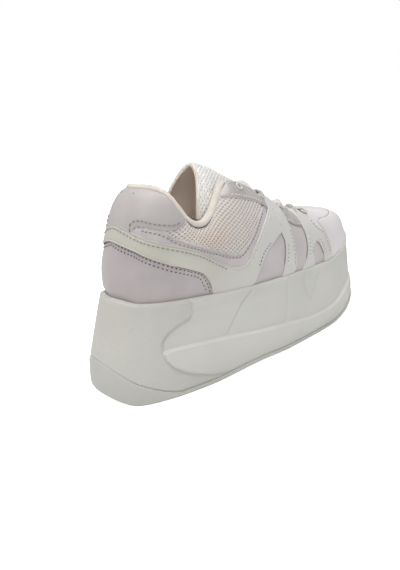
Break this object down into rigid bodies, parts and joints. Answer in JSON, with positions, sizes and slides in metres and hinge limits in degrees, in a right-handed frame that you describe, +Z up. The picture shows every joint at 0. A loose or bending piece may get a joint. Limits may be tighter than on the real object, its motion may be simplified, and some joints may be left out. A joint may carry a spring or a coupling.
{
  "type": "platform sneaker",
  "caption": "Low lace-up platform sneaker for the right foot, standing empty: hollow upper, padded tongue, insole and a thick cupped foam sole on a rubber outsole.",
  "frame": {"origin": "middle of the footprint, on the ground plane under the sole", "axes": "+Y from heel to toe, +Z up, +X towards the outer side of a right foot"},
  "size_m": [0.0942, 0.2828, 0.142],
  "materials": {
    "outsole_rubber": "matte",
    "midsole_foam": "matte",
    "insole_lining": "matte",
    "upper_leather": "satin",
    "binding_fabric": "matte",
    "tongue_mesh": "matte",
    "eyelet_ring": "gloss",
    "lace_cord": "matte"
  },
  "bodies": {
    "root": {"outsole": "outsole_rubber", "midsole": "midsole_foam", "insole": "insole_lining", "upper": "upper_leather", "collar_binding": "binding_fabric", "tongue": "tongue_mesh", "eyelet_outer_1": "eyelet_ring", "eyelet_inner_1": "eyelet_ring", "eyelet_outer_2": "eyelet_ring", "eyelet_inner_2": "eyelet_ring", "eyelet_outer_3": "eyelet_ring", "eyelet_inner_3": "eyelet_ring", "eyelet_outer_4": "eyelet_ring", "eyelet_inner_4": "eyelet_ring", "eyelet_outer_5": "eyelet_ring", "eyelet_inner_5": "eyelet_ring", "lace_bar_1": "lace_cord", "lace_bar_2": "lace_cord", "lace_bar_3": "lace_cord", "lace_bar_4": "lace_cord"}
  },
  "joints": []
}
